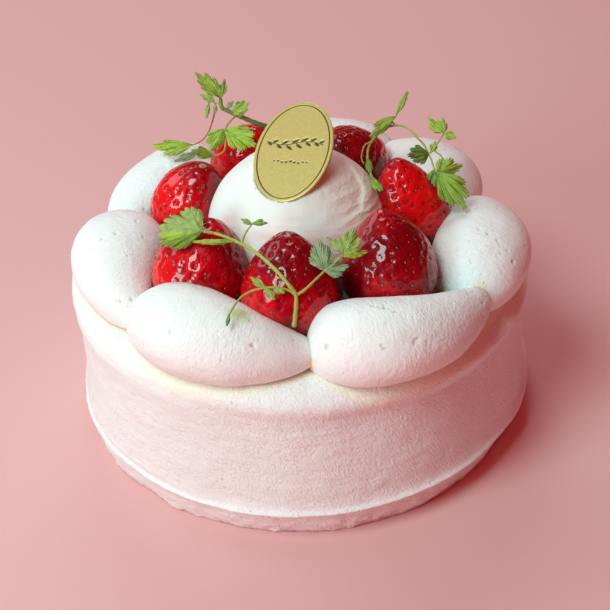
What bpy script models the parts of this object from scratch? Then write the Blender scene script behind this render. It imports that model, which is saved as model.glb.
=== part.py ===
# A whole birthday cake: a round cake coated in whipped cream, with seven spooned mounds
# of cream round its rim, a ring of strawberries inside them, a large dollop of cream in
# the middle with an oval gold card on it, and three sprigs of chervil.
# Metres, +Z up. The origin is the centre of the flat base.

from collections import namedtuple
from math import atan2, cos, exp, hypot, pi, radians, sin, sqrt

import bmesh
import bpy
from mathutils import Matrix, Vector

MM = 0.001

# Pieces that touch keep this much air between their meshes.
GAP = 0.35 * MM
MERGE = 0.01 * MM

# The coated cake: a 15 cm sponge with about 7 mm of cream round it.
CAKE_RADIUS = 82.5 * MM
CAKE_HEIGHT = 62.0 * MM
RIM_START = 70.0 * MM
RIM_HEIGHT = 56.5 * MM
RIM_STEPS = 5
CAKE_SEGMENTS = 48
FLAT_RADIUS = 42.0 * MM

# The wall below the rim, as radius and height: a shallow neck, the ridge that the
# turntable leaves near the foot, and the foot drawn in under it to the flat base.
WALL_MM = ((82.0, 53.6), (81.1, 48.5), (80.7, 40.0), (80.6, 31.0), (81.3, 21.0),
           (82.6, 14.5), (83.1, 12.7), (82.2, 11.2), (80.8, 7.0))
BASE_RADIUS = 77.8 * MM

# The mounds lie end to end round the rim, each a teardrop with a fat head and a tail that
# runs counter-clockwise. Angles are in degrees, sizes in millimetres.
# The ring is the radius that the mound's middle line follows, at its head, middle and tail.
Mound = namedtuple("Mound", "head tail ring_head ring_middle ring_tail width height taper lift")
MOUNDS = (
    Mound(-147, -83, 61.5, 65.5, 63.0, 17.0, 22.0, 0.80, 2.5),
    Mound(-89, -25, 60.5, 71.5, 71.0, 16.3, 22.5, 1.10, 4.0),
    Mound(-36, 19, 66.5, 65.5, 63.0, 17.3, 21.5, 0.80, 1.5),
    Mound(14, 64, 61.0, 62.0, 60.5, 15.0, 19.0, 0.75, 1.0),
    Mound(51, 113, 60.5, 58.0, 60.0, 15.0, 18.5, 0.75, 1.0),
    Mound(116, 171, 59.5, 61.5, 67.0, 15.0, 18.0, 0.75, 1.0),
    Mound(166, 219, 61.0, 64.5, 68.0, 16.5, 20.5, 0.75, 0.5),
)
MOUND_AROUND = 16
MOUND_ALONG = 11
HEAD_POWER = 0.45
TOP_POWER = 0.8
BELLY = 0.42

# The dollop in the middle, as radius and height from its tip down to the cake.
DOLLOP_MM = ((0.0, 104.6), (6.0, 103.2), (12.5, 100.4), (18.5, 97.0), (23.5, 93.0), (27.8, 87.6),
             (30.6, 81.0), (31.5, 74.0), (30.5, 68.0), (28.0, 62.4))
DOLLOP_SEGMENTS = 26

# Each strawberry stands on its cut end and leans its tip towards the dollop: the place of
# its middle, its radius and length in millimetres, and the tilt and turn in degrees.
Berry = namedtuple("Berry", "x y z radius length tilt toward")
BERRIES = (
    Berry(-3.3, -42.5, 79.0, 16.0, 38.0, 18, 88),
    Berry(-32.4, -25.5, 77.0, 16.4, 34.0, 22, 40),
    Berry(-37.0, 14.0, 77.5, 14.0, 34.0, 22, -20),
    Berry(-16.5, 42.0, 76.5, 14.0, 32.0, 20, -66),
    Berry(20.5, 37.0, 76.0, 14.5, 34.0, 24, -120),
    Berry(39.6, 1.5, 79.5, 12.7, 38.0, 24, 175),
    Berry(29.6, -30.0, 78.5, 16.0, 37.0, 22, 135),
)
BERRY_AROUND = 14
BERRY_ALONG = 10
BERRY_TAPER = 0.24

# The oval gold card that rests on the dollop.
CARD_CENTRE_MM = (0.2, -1.4, 105.6)
CARD_HALF_WIDTH = 14.0 * MM
CARD_HALF_LENGTH = 19.6 * MM
CARD_THICKNESS = 1.0 * MM
CARD_ACROSS = (13.5, -5.4, 1.7)
CARD_UP = (5.5, 17.0, 10.0)
CARD_SEGMENTS = 36

# Chervil. A stem runs through its points, with its radius at the first. A leaf is a fan of
# lobes that goes from its base to the end of its middle lobe, and opens by so many degrees
# to its left and its right. All in millimetres.
Stem = namedtuple("Stem", "radius points")
Leaf = namedtuple("Leaf", "base tip lobes left right")
FRONT_FORK = (-1.2, -57.9, 86.7)
FRONT_BEND = (-18.3, -38.3, 94.2)
FRONT_END = (-30.9, -31.3, 95.0)
FRONT_TWIG = (-14.6, -34.2, 99.0)
FRONT_LOW = (-11.2, -57.0, 89.6)
FRONT_TURN = (8.3, -52.0, 91.5)
FRONT_RIGHT = (14.6, -48.4, 95.6)
FRONT_SPRIG = (
    (Stem(0.85, ((-2.4, -61.8, 77.0), (-1.7, -60.2, 81.0), FRONT_FORK, (-3.4, -56.6, 90.2),
                 (-6.8, -52.8, 92.8), (-11.1, -47.2, 94.2), (-15.5, -41.2, 94.2), FRONT_BEND,
                 (-23.1, -34.0, 94.0), (-27.1, -31.5, 94.2), FRONT_END)),
     Stem(0.45, (FRONT_BEND, (-17.8, -37.6, 95.5), (-16.6, -35.7, 97.0), FRONT_TWIG)),
     Stem(0.50, (FRONT_FORK, (-3.7, -57.2, 88.5), (-7.6, -57.0, 89.6), FRONT_LOW,
                 (-14.3, -57.2, 89.2), (-17.5, -58.2, 88.4), (-20.1, -60.5, 87.4),
                 (-21.9, -63.8, 86.6), (-23.0, -66.3, 86.0))),
     Stem(0.60, (FRONT_FORK, (1.8, -57.0, 88.2), (5.4, -54.5, 90.2), FRONT_TURN)),
     Stem(0.45, (FRONT_TURN, (11.1, -50.9, 93.0), (13.8, -49.2, 95.0), FRONT_RIGHT))),
    (Leaf(FRONT_END, (-47.4, -30.3, 91.5), 5, 32, 88),
     Leaf((-19.6, -36.8, 94.0), (-35.7, -33.8, 93.0), 1, 8, 8),
     Leaf(FRONT_TWIG, (-18.3, -32.3, 100.0), 3, 25, 30),
     Leaf(FRONT_TWIG, (-9.1, -35.6, 100.0), 3, 35, 15),
     Leaf((-10.9, -57.0, 89.6), (-15.8, -53.6, 92.0), 3, 25, 22),
     Leaf(FRONT_LOW, (-7.8, -60.6, 87.2), 3, 26, 26),
     Leaf((-8.4, -57.0, 89.6), (-4.5, -58.6, 88.2), 3, 38, 34),
     Leaf((-22.6, -65.3, 86.2), (-23.6, -70.0, 84.6), 1, 18, 18),
     Leaf(FRONT_TURN, (7.0, -43.2, 98.0), 5, 50, 46),
     Leaf(FRONT_RIGHT, (19.1, -42.3, 101.0), 5, 46, 66),
     Leaf(FRONT_RIGHT, (9.3, -42.6, 98.5), 3, 20, 25),
     Leaf(FRONT_TURN, (16.6, -50.9, 92.5), 3, 32, 46),
     Leaf((13.8, -49.2, 95.0), (23.2, -46.3, 94.6), 1, 14, 20)),
)
BACK_KNEE = (-19.9, 36.9, 98.6)
BACK_JOINT = (-25.1, 38.1, 101.4)
BACK_CROWN = (-25.5, 41.3, 103.2)
BACK_PALE = (-27.5, 40.6, 102.0)
BACK_NODE = (-24.2, 26.7, 93.6)
BACK_END = (-28.6, 20.8, 91.6)
BACK_SIDE = (-36.4, 35.6, 87.6)
BACK_SPRIG = (
    (Stem(1.15, ((-7.8, 39.4, 91.0), (-10.4, 38.3, 92.7), (-12.9, 37.3, 94.5), (-16.9, 36.8, 97.0),
                 BACK_KNEE, (-24.0, 37.8, 100.6), BACK_JOINT, BACK_CROWN)),
     Stem(0.40, (BACK_JOINT, (-26.0, 39.7, 102.0), BACK_PALE)),
     Stem(0.38, (BACK_PALE, (-27.8, 40.2, 99.6), (-28.2, 39.8, 97.4), (-29.2, 39.3, 94.4),
                 (-30.7, 38.5, 91.0), (-33.2, 36.9, 88.6), BACK_SIDE)),
     Stem(0.42, (BACK_KNEE, (-22.6, 34.0, 97.5), (-24.2, 31.2, 96.0), BACK_NODE,
                 (-24.7, 23.4, 92.2), (-26.3, 21.8, 91.8), BACK_END))),
    (Leaf(BACK_CROWN, (-34.7, 46.3, 112.0), 5, 20, 38),
     Leaf(BACK_CROWN, (-23.4, 44.1, 110.0), 3, 24, 27),
     Leaf(BACK_PALE, (-33.3, 43.8, 104.0), 3, 18, 40),
     Leaf((-29.6, 41.2, 102.4), (-30.9, 34.1, 99.0), 1, 14, 14),
     Leaf(BACK_PALE, (-27.5, 37.6, 98.8), 1, 22, 22),
     Leaf((-21.7, 37.0, 99.4), (-14.5, 37.2, 103.6), 5, 40, 46),
     Leaf((-23.5, 37.9, 100.4), (-20.6, 38.8, 103.5), 3, 32, 25),
     Leaf(BACK_SIDE, (-52.6, 38.4, 86.8), 3, 34, 15),
     Leaf((-24.2, 31.2, 96.0), (-29.6, 22.6, 92.0), 5, 24, 60),
     Leaf((-24.1, 31.0, 95.9), (-12.8, 21.6, 94.2), 5, 46, 42),
     Leaf(BACK_END, (-36.4, 16.8, 97.0), 3, 26, 30),
     Leaf((-33.0, 18.0, 95.4), (-42.6, 14.0, 94.2), 3, 18, 20)),
)
RIGHT_FORK = (28.4, 23.9, 92.6)
RIGHT_PEAK = (37.0, 20.2, 101.0)
RIGHT_JOINT = (36.9, 21.3, 104.0)
RIGHT_ELBOW = (47.4, 9.3, 95.4)
RIGHT_UPPER = (53.2, 13.4, 101.0)
RIGHT_DROOP = (49.6, 1.5, 92.4)
RIGHT_SPRIG = (
    (Stem(0.55, ((26.9, 1.0, 92.2), (26.4, 8.0, 91.0), (26.3, 15.6, 90.4), (26.9, 21.4, 91.0),
                 RIGHT_FORK, (30.6, 24.3, 95.2), (33.1, 23.6, 98.0), (35.6, 21.8, 100.0), RIGHT_PEAK,
                 (39.4, 18.3, 101.6), (41.7, 15.5, 101.4), (44.0, 12.6, 99.8), (45.9, 11.4, 98.0),
                 RIGHT_ELBOW, (48.1, 7.7, 94.4), (48.8, 4.3, 93.0), RIGHT_DROOP)),
     Stem(0.38, (RIGHT_FORK, (25.9, 22.7, 92.0), (24.8, 19.8, 91.4), (24.2, 16.2, 90.4),
                 (24.9, 12.8, 90.2))),
     Stem(0.38, (RIGHT_PEAK, (35.5, 21.6, 102.0), RIGHT_JOINT)),
     Stem(0.42, (RIGHT_ELBOW, (49.2, 9.9, 96.5), (50.8, 11.1, 98.6), RIGHT_UPPER)),
     Stem(0.35, ((49.2, 9.9, 96.5), (51.7, 8.9, 94.6), (53.2, 7.5, 92.8)))),
    (Leaf(RIGHT_JOINT, (42.0, 26.1, 112.0), 1, 14, 12),
     Leaf(RIGHT_JOINT, (27.3, 19.4, 96.4), 3, 15, 34),
     Leaf((26.3, 15.6, 90.4), (26.6, 3.0, 92.2), 1, 14, 14),
     Leaf((26.9, 1.0, 92.2), (30.2, -11.4, 93.0), 1, 14, 22),
     Leaf(RIGHT_UPPER, (47.8, 19.6, 104.0), 3, 22, 18),
     Leaf((52.9, 13.2, 100.8), (53.3, 19.1, 104.0), 1, 10, 10),
     Leaf(RIGHT_UPPER, (57.4, 11.0, 100.0), 3, 38, 34),
     Leaf((48.3, 9.6, 96.0), (50.3, 12.3, 98.6), 3, 40, 44),
     Leaf(RIGHT_ELBOW, (39.3, 5.6, 97.2), 5, 52, 55),
     Leaf(RIGHT_DROOP, (59.4, 5.8, 92.0), 5, 62, 26),
     Leaf(RIGHT_DROOP, (58.6, -11.4, 84.4), 5, 46, 32),
     Leaf((49.4, 3.0, 92.7), (48.8, -3.4, 89.6), 3, 20, 60)),
)
SPRIGS = (FRONT_SPRIG, BACK_SPRIG, RIGHT_SPRIG)
STEM_TAPER = 0.65
LEAF_THICKNESS = 0.5 * MM
LEAF_FACE = (0.0, -0.62, 0.78)
LEAF_NOTCH = 0.72
LEAF_SHORTER = 0.58
LEAF_CUP = 0.14
LEAF_ROOT = 0.3 * MM
LEAF_RIPPLE = 0.22


def clear_scene():
    for item in list(bpy.data.objects):
        bpy.data.objects.remove(item, do_unlink=True)


def new_collection(name):
    collection = bpy.data.collections.new(name)
    bpy.context.scene.collection.children.link(collection)
    return collection


def new_material(name, colour, roughness, metallic=0.0):
    material = bpy.data.materials.new(name)
    material.use_nodes = True
    shader = material.node_tree.nodes["Principled BSDF"]
    shader.inputs["Base Color"].default_value = (*colour, 1.0)
    shader.inputs["Roughness"].default_value = roughness
    shader.inputs["Metallic"].default_value = metallic
    material.diffuse_color = (*colour, 1.0)
    return material


def new_object(name, mesh, collection, material=None):
    item = bpy.data.objects.new(name, mesh)
    collection.objects.link(item)
    if material:
        mesh.materials.append(material)
        mesh.shade_smooth()
    return item


def mesh_from(bm, name):
    mesh = bpy.data.meshes.new(name)
    bm.to_mesh(mesh)
    bm.free()
    return mesh


def turned_mesh(name, profile, segments):
    """Spin a profile, given from the top of the axis down its outer side, into a solid."""
    outline = bpy.data.meshes.new(name + "_profile")
    points = [(radius, 0.0, height) for radius, height in profile]
    outline.from_pydata(points, [(i, i + 1) for i in range(len(points) - 1)], [])
    holder = bpy.data.objects.new(name + "_profile", outline)
    bpy.context.scene.collection.objects.link(holder)
    screw = holder.modifiers.new("Turn", "SCREW")
    screw.steps = screw.render_steps = segments
    screw.use_merge_vertices = True
    screw.merge_threshold = MERGE
    mesh = evaluated_mesh(holder, name)
    bpy.data.objects.remove(holder, do_unlink=True)
    return mesh


def evaluated_mesh(item, name):
    depsgraph = bpy.context.evaluated_depsgraph_get()
    mesh = bpy.data.meshes.new_from_object(item.evaluated_get(depsgraph))
    mesh.name = name
    return mesh


def cut(item, name, **operand):
    """Take a cutter, or a collection of them, out of an object."""
    boolean = item.modifiers.new(name, "BOOLEAN")
    boolean.operation = "DIFFERENCE"
    for key, value in operand.items():
        setattr(boolean, key, value)


def cake_top(radius):
    """Height of the cake's top: flat, then rounding over into the rim."""
    turn = min(max((radius - RIM_START) / (CAKE_RADIUS - RIM_START), 0.0), 1.0)
    return RIM_HEIGHT + (CAKE_HEIGHT - RIM_HEIGHT) * sqrt(1.0 - turn * turn)


def wall_unevenness(angle, height):
    """How far the spread cream stands out from a true circle."""
    sway = 0.35 * sin(2 * angle + 0.4) + 0.22 * sin(5 * angle + 2.0) + 0.12 * sin(11 * angle)
    hollow = exp(-((abs(angle) - pi) / 0.5) ** 2 - ((height / MM - 31.0) / 9.0) ** 2)
    ragged = 0.35 * sin(17 * angle + 1.0) * exp(-((height / MM) / 9.0) ** 2)
    return (sway + ragged - 0.9 * hollow) * MM


def build_cake(collection, cream):
    profile = [(0.0, CAKE_HEIGHT), (FLAT_RADIUS, CAKE_HEIGHT)]
    for step in range(RIM_STEPS + 1):
        turn = 0.5 * pi * step / RIM_STEPS
        profile.append((RIM_START + (CAKE_RADIUS - RIM_START) * sin(turn),
                        RIM_HEIGHT + (CAKE_HEIGHT - RIM_HEIGHT) * cos(turn)))
    profile += [(radius * MM, height * MM) for radius, height in WALL_MM]
    profile += [(BASE_RADIUS, 0.0), (0.0, 0.0)]
    mesh = turned_mesh("cake_body", profile, CAKE_SEGMENTS)
    for vert in mesh.vertices:
        radius = hypot(vert.co.x, vert.co.y)
        below_rim = vert.co.z < RIM_HEIGHT + MERGE and radius > 0.5 * BASE_RADIUS
        if below_rim:
            stretch = 1.0 + wall_unevenness(atan2(vert.co.y, vert.co.x), vert.co.z) / radius
            vert.co.x *= stretch
            vert.co.y *= stretch
    return new_object("cake_body", mesh, collection, cream)


def teardrop(along, taper):
    """Half-width of a mound, 0 at both ends and 1 at its fattest."""
    fattest = HEAD_POWER / (HEAD_POWER + taper)
    peak = fattest ** HEAD_POWER * (1.0 - fattest) ** taper
    return max(along, 0.0) ** HEAD_POWER * max(1.0 - along, 0.0) ** taper / peak


def ring_radius(mound, along):
    """Radius of a mound's middle line: a parabola through its three named radii."""
    ahead, behind = 1.0 - along, along
    return MM * (mound.ring_head * ahead * (ahead - behind) + 4.0 * mound.ring_middle * ahead * behind
                 + mound.ring_tail * behind * (behind - ahead))


def mound_mesh(name, mound, grow=0.0):
    """A sphere drawn out along an arc of the rim, with its underside on the cake."""
    bm = bmesh.new()
    bmesh.ops.create_uvsphere(bm, u_segments=MOUND_AROUND, v_segments=MOUND_ALONG, radius=1.0)
    extra = grow / (mound.ring_middle * MM)
    head, tail = radians(mound.head) - extra, radians(mound.tail) + extra
    for vert in bm.verts:
        across = hypot(vert.co.x, vert.co.y)
        side = vert.co.x / across if across > 1e-6 else 0.0
        rise = vert.co.y / across if across > 1e-6 else 0.0
        along = 0.5 * (1.0 - vert.co.z)
        fat = teardrop(along, mound.taper)
        growth = grow * min(1.0, 4.0 * fat)
        half_width = mound.width * MM * fat + growth
        top = mound.height * MM * fat ** TOP_POWER + growth
        angle = head + (tail - head) * along
        radius = ring_radius(mound, along) + half_width * side
        floor = cake_top(radius) + GAP - grow
        lift = mound.lift * MM * along ** 3
        height = CAKE_HEIGHT + GAP + lift + top * (BELLY + (1.0 - BELLY) * rise)
        vert.co = (radius * cos(angle), radius * sin(angle), max(height, floor))
    return mesh_from(bm, name)


def berry_mesh(name, berry, grow=0.0):
    """A strawberry: a sphere tapered to its tip, leaned over and flat where it stands."""
    bm = bmesh.new()
    bmesh.ops.create_uvsphere(bm, u_segments=BERRY_AROUND, v_segments=BERRY_ALONG, radius=1.0)
    radius = berry.radius * MM + grow
    half_length = 0.5 * berry.length * MM + grow
    for vert in bm.verts:
        narrow = 1.0 - BERRY_TAPER * vert.co.z
        vert.co = (vert.co.x * radius * narrow, vert.co.y * radius * narrow,
                   vert.co.z * half_length)
    toward = radians(berry.toward)
    lean = Matrix.Rotation(radians(berry.tilt), 4, Vector((-sin(toward), cos(toward), 0.0)))
    place = Matrix.Translation(Vector((berry.x, berry.y, berry.z)) * MM)
    bm.transform(place @ lean)
    stand = CAKE_HEIGHT + GAP - grow
    for vert in bm.verts:
        vert.co.z = max(vert.co.z, stand)
    return mesh_from(bm, name)


def build_berries(collection, cutters, red):
    for number, berry in enumerate(BERRIES, 1):
        name = f"strawberry_{number}"
        new_object(name, berry_mesh(name, berry), collection, red)
        new_object(name + "_room", berry_mesh(name + "_room", berry, GAP), cutters)


def build_mounds(collection, cutters, berry_room, cream):
    """Each tail lies whole on the next head, which gives way to it and to the berries."""
    mounds, rooms = [], []
    for number, mound in enumerate(MOUNDS, 1):
        name = f"cream_mound_{number}"
        mounds.append(new_object(name, mound_mesh(name, mound), collection, cream))
        rooms.append(new_object(name + "_room", mound_mesh(name + "_room", mound, GAP), cutters))
    for number, item in enumerate(mounds):
        cut(item, "Berries", operand_type="COLLECTION", collection=berry_room)
        cut(item, "Tail before", object=rooms[number - 1])


def build_dollop(collection, berry_room, card_room, cream):
    profile = [(radius * MM, max(height * MM, CAKE_HEIGHT + GAP)) for radius, height in DOLLOP_MM]
    profile.append((0.0, CAKE_HEIGHT + GAP))
    mesh = turned_mesh("cream_dollop", profile, DOLLOP_SEGMENTS)
    dollop = new_object("cream_dollop", mesh, collection, cream)
    cut(dollop, "Berries", operand_type="COLLECTION", collection=berry_room)
    cut(dollop, "Card", object=card_room)


def new_card(name, collection, material=None, grow=0.0):
    """An oval plate, bevelled round both faces, lying where the named directions put it."""
    across = Vector(CARD_ACROSS).normalized()
    up = Vector(CARD_UP)
    up = (up - across * up.dot(across)).normalized()
    face = across.cross(up)
    bm = bmesh.new()
    bmesh.ops.create_cone(bm, cap_ends=True, segments=CARD_SEGMENTS, radius1=1.0, radius2=1.0,
                          depth=CARD_THICKNESS + 2.0 * grow)
    size = (CARD_HALF_WIDTH + grow, CARD_HALF_LENGTH + grow, 1.0)
    bmesh.ops.scale(bm, vec=size, verts=bm.verts)
    item = new_object(name, mesh_from(bm, name), collection, material)
    frame = Matrix((across, up, face)).transposed().to_4x4()
    item.matrix_world = Matrix.Translation(Vector(CARD_CENTRE_MM) * MM) @ frame
    bevel = item.modifiers.new("Soft edge", "BEVEL")
    bevel.width = 0.2 * CARD_THICKNESS
    bevel.segments = 1
    return item


def stem_mesh(name, stem):
    curve = bpy.data.curves.new(name, "CURVE")
    curve.dimensions = "3D"
    curve.bevel_depth = stem.radius * MM
    curve.bevel_resolution = 1
    curve.use_fill_caps = True
    last = len(stem.points) - 1
    spline = curve.splines.new("POLY")
    spline.points.add(last)
    for number, (point, place) in enumerate(zip(spline.points, stem.points)):
        point.co = (*(Vector(place) * MM), 1.0)
        point.radius = 1.0 + (STEM_TAPER - 1.0) * number / last
    holder = bpy.data.objects.new(name, curve)
    bpy.context.scene.collection.objects.link(holder)
    mesh = evaluated_mesh(holder, name)
    bpy.data.objects.remove(holder, do_unlink=True)
    bm = bmesh.new()
    bm.from_mesh(mesh)
    bmesh.ops.remove_doubles(bm, verts=bm.verts, dist=MERGE)
    bm.to_mesh(mesh)
    bm.free()
    return mesh


def leaf_mesh(name, leaf):
    """A fan of blunt lobes from the leaf's base, its two faces split into triangles alike."""
    ahead = (Vector(leaf.tip) - Vector(leaf.base)).normalized()
    base = Vector(leaf.base) * MM - LEAF_ROOT * ahead
    length = (Vector(leaf.tip) * MM - base).length
    face = Vector(LEAF_FACE)
    face = (face - ahead * face.dot(ahead)).normalized()
    side = ahead.cross(face)
    base -= 0.5 * LEAF_THICKNESS * face
    columns = 3 * leaf.lobes
    ripple = LEAF_RIPPLE * radians(leaf.left + leaf.right) / columns
    bm = bmesh.new()
    bmesh.ops.create_grid(bm, x_segments=columns, y_segments=1, size=1.0)
    for vert in bm.verts:
        share, outward = vert.co.x, 0.5 * (vert.co.y + 1.0)
        at_notch = round(0.5 * (share + 1.0) * columns) % 3 == 0
        turn = radians(leaf.right if share > 0.0 else leaf.left) * share
        reach = (1.0 - LEAF_SHORTER * abs(share)) * (LEAF_NOTCH if at_notch else 1.0)
        lift = (-ripple if at_notch else ripple) - LEAF_CUP * turn * turn * reach
        away = reach * (cos(turn) * ahead + sin(turn) * side) + lift * face
        vert.co = base + length * outward * away
    bmesh.ops.remove_doubles(bm, verts=bm.verts, dist=MERGE)
    bmesh.ops.triangulate(bm, faces=bm.faces)
    sheet = bmesh.ops.extrude_face_region(bm, geom=bm.faces[:], use_keep_orig=True)["geom"]
    raised = [item for item in sheet if isinstance(item, bmesh.types.BMVert)]
    bmesh.ops.translate(bm, vec=LEAF_THICKNESS * face, verts=raised)
    bmesh.ops.recalc_face_normals(bm, faces=bm.faces)
    return mesh_from(bm, name)


def build_sprigs(collection, green):
    """Each sprig's stems and leaves are joined into one solid."""
    for number, (stems, leaves) in enumerate(SPRIGS, 1):
        name = f"chervil_sprig_{number}"
        pieces = new_collection(name + "_pieces")
        sprig = new_object(name, stem_mesh(name, stems[0]), collection, green)
        for order, stem in enumerate(stems[1:], 1):
            piece = f"{name}_stem_{order}"
            new_object(piece, stem_mesh(piece, stem), pieces)
        for order, leaf in enumerate(leaves):
            piece = f"{name}_leaf_{order}"
            new_object(piece, leaf_mesh(piece, leaf), pieces)
        union = sprig.modifiers.new("Join", "BOOLEAN")
        union.operation = "UNION"
        union.operand_type = "COLLECTION"
        union.collection = pieces
        joined = evaluated_mesh(sprig, name)
        sprig.modifiers.clear()
        sprig.data = joined
        for piece in list(pieces.objects):
            bpy.data.objects.remove(piece, do_unlink=True)
        bpy.data.collections.remove(pieces)


def main():
    clear_scene()
    cake = new_collection("birthday_cake")
    cutters = new_collection("cutters")
    berry_room = bpy.data.collections.new("berry_room")
    cutters.children.link(berry_room)
    cream = new_material("whipped_cream", (0.93, 0.91, 0.88), 0.55)
    red = new_material("strawberry", (0.56, 0.01, 0.015), 0.2)
    gold = new_material("gold_card", (0.64, 0.56, 0.2), 0.42, 0.7)
    build_sprigs(cake, new_material("chervil", (0.2, 0.32, 0.05), 0.5))
    build_cake(cake, cream)
    build_berries(cake, berry_room, red)
    build_mounds(cake, cutters, berry_room, cream)
    new_card("gold_card", cake, gold)
    build_dollop(cake, berry_room, new_card("gold_card_room", cutters, grow=GAP), cream)
    for item in cutters.all_objects:
        item.hide_render = True
        item.display_type = "WIRE"


main()
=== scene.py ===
from collections import namedtuple
from math import cos, pi, radians, sin

import bmesh
import bpy
import numpy as np
from mathutils import Matrix, Vector, noise


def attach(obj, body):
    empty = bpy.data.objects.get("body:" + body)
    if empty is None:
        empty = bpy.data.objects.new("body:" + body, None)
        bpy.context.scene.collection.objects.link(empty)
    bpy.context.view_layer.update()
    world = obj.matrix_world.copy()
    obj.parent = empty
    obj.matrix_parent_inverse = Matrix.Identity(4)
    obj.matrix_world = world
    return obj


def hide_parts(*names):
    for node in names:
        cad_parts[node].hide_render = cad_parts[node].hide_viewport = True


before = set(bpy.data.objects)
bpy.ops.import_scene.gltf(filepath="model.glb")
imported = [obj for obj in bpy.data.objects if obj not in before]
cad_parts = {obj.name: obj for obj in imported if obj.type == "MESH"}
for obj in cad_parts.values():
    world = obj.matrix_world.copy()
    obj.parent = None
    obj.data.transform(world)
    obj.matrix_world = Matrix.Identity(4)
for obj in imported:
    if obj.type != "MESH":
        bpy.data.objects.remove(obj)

mm = 0.001
scene = bpy.context.scene
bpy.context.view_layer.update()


def addObject(name, data):
    made = bpy.data.objects.new(name, data)
    scene.collection.objects.link(made)
    return made


# Camera, at the photograph's angle

cameraSettings = {
    "aim": (1.53, 0, 38.56),      # mm, the point in the middle of the picture
    "distance": 0.6,                # metres
    "downwards": 37.3,              # degrees below level
    "roll": 2.82,                   # degrees
    "lens": 96.4, "sensor": 36,   # mm
    "nearest": 0.01,                # metres
}


def makeCamera():
    settings = cameraSettings
    data = bpy.data.cameras.new("camera")
    data.lens = settings["lens"]
    data.sensor_width = settings["sensor"]
    data.clip_start = settings["nearest"]
    camera = addObject("camera", data)
    down = radians(settings["downwards"])
    ahead = Vector((0, cos(down), -sin(down)))
    place = Matrix.Translation(Vector(settings["aim"]) * mm - ahead * settings["distance"])
    tip = Matrix.Rotation(0.5 * pi - down, 4, "X")
    camera.matrix_world = place @ tip @ Matrix.Rotation(-radians(settings["roll"]), 4, "Z")
    scene.camera = camera


makeCamera()


# Shapes that more than one piece needs, in mm unless a note says otherwise

def ramp(value, start, end):
    # 0 at the start, 1 at the end and straight between them
    return np.clip((value - start) / (end - start), 0, 1)


def ease(value, start, end):
    # as ramp, with soft ends
    share = ramp(value, start, end)
    return share * share * (3 - 2 * share)


def hump(value, middle, width):
    # 1 in the middle, dying away on both sides
    return np.exp(-((value - middle) / width) ** 2)


def smoothRun(points, steps):
    # points along a curve that passes through every given point
    knots = np.array(points, float)
    knots = np.vstack([2 * knots[0] - knots[1], knots, 2 * knots[-1] - knots[-2]])
    run = []
    for before, start, end, after in zip(knots, knots[1:], knots[2:], knots[3:]):
        for t in np.arange(steps) / steps:
            run.append(start + 0.5 * t * (end - before)
                       + t * t * (before - 2.5 * start + 2 * end - 0.5 * after)
                       + t ** 3 * (1.5 * (start - end) + 0.5 * (after - before)))
    return np.array(run + [knots[-2]])


def grain(places, size, seed=0):
    # smooth noise from about -1 to 1, with lumps of the given size; each seed moves it elsewhere
    shift = Vector((seed, 1.7 * seed, -2.3 * seed))
    values = [noise.noise(Vector(place) / size + shift) for place in places.reshape(-1, 3)]
    return np.array(values).reshape(places.shape[:-1])


def lumps(places, layers, seed=0):
    # layers of grain, each given as its depth, its size and its own seed
    return sum(depth * grain(places, size, own + seed) for depth, size, own in layers)


def onCake(radius, angle, height):
    return np.stack(np.broadcast_arrays(radius * np.cos(angle), radius * np.sin(angle), height), axis=-1)


def turnProfile(radii, heights, columns):
    # a profile turned round the middle of the cake: the radius, angle and height of each point
    radius, angle = np.meshgrid(radii, np.linspace(-pi, pi, columns, endpoint=False), indexing="ij")
    return radius, angle, np.repeat(np.array(heights)[:, None], columns, axis=1)


def gridFaces(rows, columns, around=True):
    # four-sided faces between the points of a grid, which may close round on itself
    across = columns if around else columns - 1
    return [(row * columns + column, row * columns + (column + 1) % columns,
             (row + 1) * columns + (column + 1) % columns, (row + 1) * columns + column)
            for row in range(rows - 1) for column in range(across)]


def addValues(mesh, key, values):
    # one number or one vector for each point of a mesh
    kind, part = ("FLOAT", "value") if np.size(values) == len(mesh.vertices) else ("FLOAT_VECTOR", "vector")
    mesh.attributes.new(key, kind, "POINT").data.foreach_set(part, np.ravel(values).astype(float))


def makePiece(name, points, faces, material, values):
    mesh = bpy.data.meshes.new(name)
    mesh.from_pydata(points.reshape(-1, 3).tolist(), [], faces)
    for key, numbers in values.items():
        addValues(mesh, key, numbers)
    work = bmesh.new()
    work.from_mesh(mesh)
    bmesh.ops.remove_doubles(work, verts=work.verts, dist=1e-7)
    bmesh.ops.recalc_face_normals(work, faces=work.faces)
    work.to_mesh(mesh)
    work.free()
    mesh.materials.append(material)
    mesh.shade_smooth()
    piece = addObject(name, mesh)
    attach(piece, "root")
    return piece


# Materials

def addNode(tree, kind, sockets=None, **settings):
    # a node of a tree: its settings first, then a value or a link for each socket that is named
    node = tree.nodes.new(kind)
    for key, value in settings.items():
        setattr(node, key, value)
    for key, value in (sockets or {}).items():
        if isinstance(value, bpy.types.NodeSocket):
            tree.links.new(value, node.inputs[key])
        else:
            node.inputs[key].default_value = value
    return node


class Wire:
    def __init__(self, look, socket):
        self.look, self.socket = look, socket

    def maths(self, operation, other):
        return self.look.add("ShaderNodeMath", {0: self, 1: other}, operation=operation)

    def __add__(self, other):
        return self.maths("ADD", other)

    def __mul__(self, other):
        return self.maths("MULTIPLY", other)

    def __rsub__(self, other):
        return self.look.add("ShaderNodeMath", {0: other, 1: self}, operation="SUBTRACT")

    __radd__, __rmul__ = __add__, __mul__


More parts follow.
